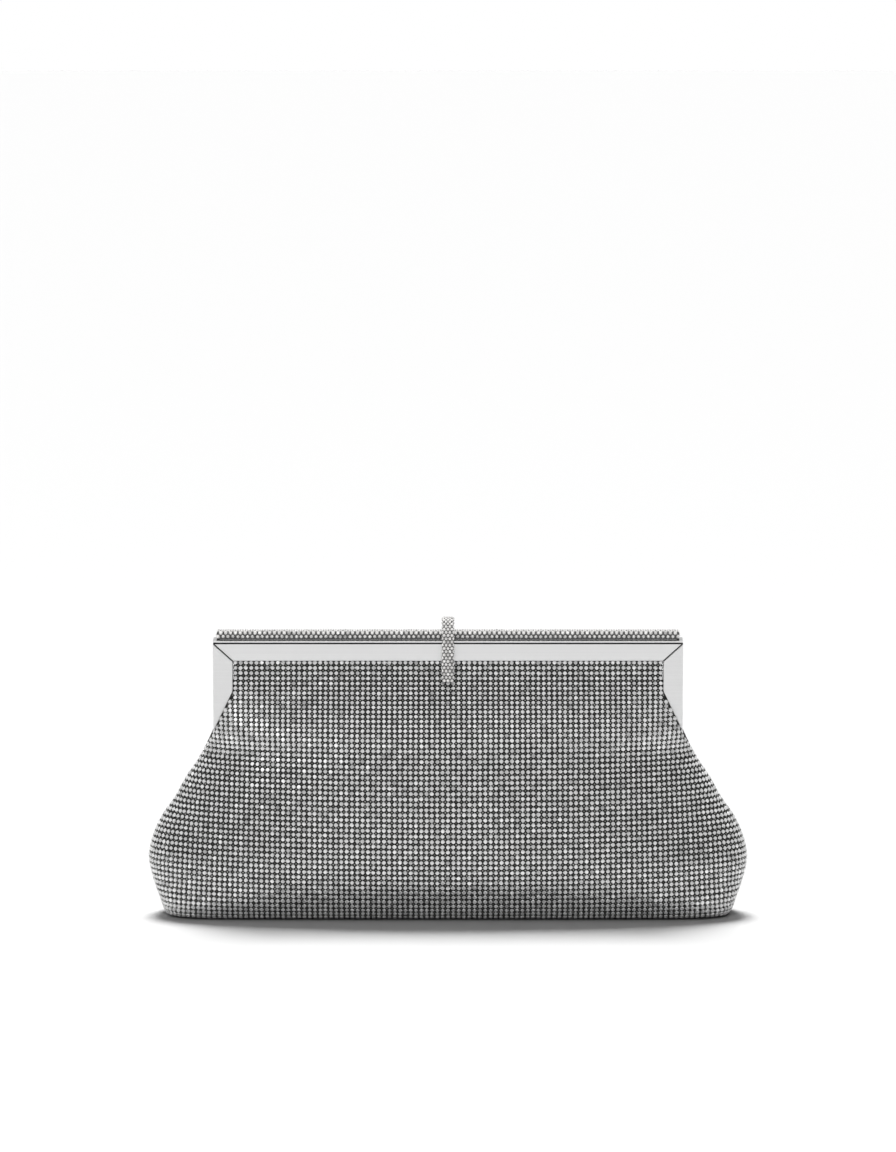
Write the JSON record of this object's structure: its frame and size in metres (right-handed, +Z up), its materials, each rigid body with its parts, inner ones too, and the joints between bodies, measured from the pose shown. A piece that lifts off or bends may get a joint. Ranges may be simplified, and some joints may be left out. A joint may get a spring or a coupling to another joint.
{
  "type": "framed evening clutch",
  "caption": "Rounded evening clutch of crystal mesh in a hinged metal kiss frame, with a stone-set rail along the top and a stone-set rocker clasp.",
  "frame": {"origin": "middle of the flat base, on the surface the bag stands on", "axes": "+X along the frame to the viewer's right, +Y to the back, +Z up; the clasp faces -Y"},
  "size_m": [0.28, 0.065, 0.1396],
  "materials": {
    "face_plate": "brushed and polished palladium plate",
    "channel": "polished palladium plate",
    "fastener": "plated steel",
    "paper_cord": "twisted paper cord",
    "plated_metal": "polished plate",
    "keeper": "satin",
    "magnet": "nickel plated",
    "pave": "faceted clear crystals in a grey setting",
    "crystal_mesh": "faceted clear crystals on gunmetal mesh",
    "foam": "thin foam interlining",
    "board": "grey board",
    "gusset": "black satin",
    "lining": "black satin"
  },
  "bodies": {
    "bag": {"rear_channel": "channel", "rear_top_plate": "face_plate", "rear_left_plate": "face_plate", "rear_right_plate": "face_plate", "rear_left_ear": "fastener", "rear_right_ear": "fastener", "left_hinge_rivet": "fastener", "right_hinge_rivet": "fastener", "hinge_washers": "fastener", "rear_paper_cord": "paper_cord", "rail_bar": "plated_metal", "rail_stones": "pave", "rail_screws": "fastener", "magnet_keeper": "keeper", "crystal_mesh_bag": "crystal_mesh", "bag_padding": "foam", "rear_padding": "foam", "bag_lining": "lining", "rear_lining": "lining", "slip_pocket": "lining", "base_board": "board", "left_gusset": "gusset", "right_gusset": "gusset"},
    "front_frame": {"front_channel": "channel", "front_top_plate": "face_plate", "front_left_plate": "face_plate", "front_right_plate": "face_plate", "front_left_ear": "fastener", "front_right_ear": "fastener", "front_paper_cord": "paper_cord", "front_crystal_panel": "crystal_mesh", "front_padding": "foam", "front_lining": "lining", "clasp_bracket": "fastener"},
    "clasp": {"clasp_lever": "plated_metal", "clasp_stones": "pave", "clasp_pin": "fastener", "clasp_magnet": "magnet"}
  },
  "joints": [
    {"name": "frame_open", "type": "hinge", "parent": "bag", "child": "front_frame", "pos_m": [0, 0, 0.085], "axis": [1, 0, 0], "range_deg": [0, 45], "deforming": ["left_gusset", "right_gusset"]},
    {"name": "clasp_press", "type": "hinge", "parent": "front_frame", "child": "clasp", "pos_m": [0, -0.0086, 0.1248], "axis": [1, 0, 0], "range_deg": [0, 10]}
  ]
}
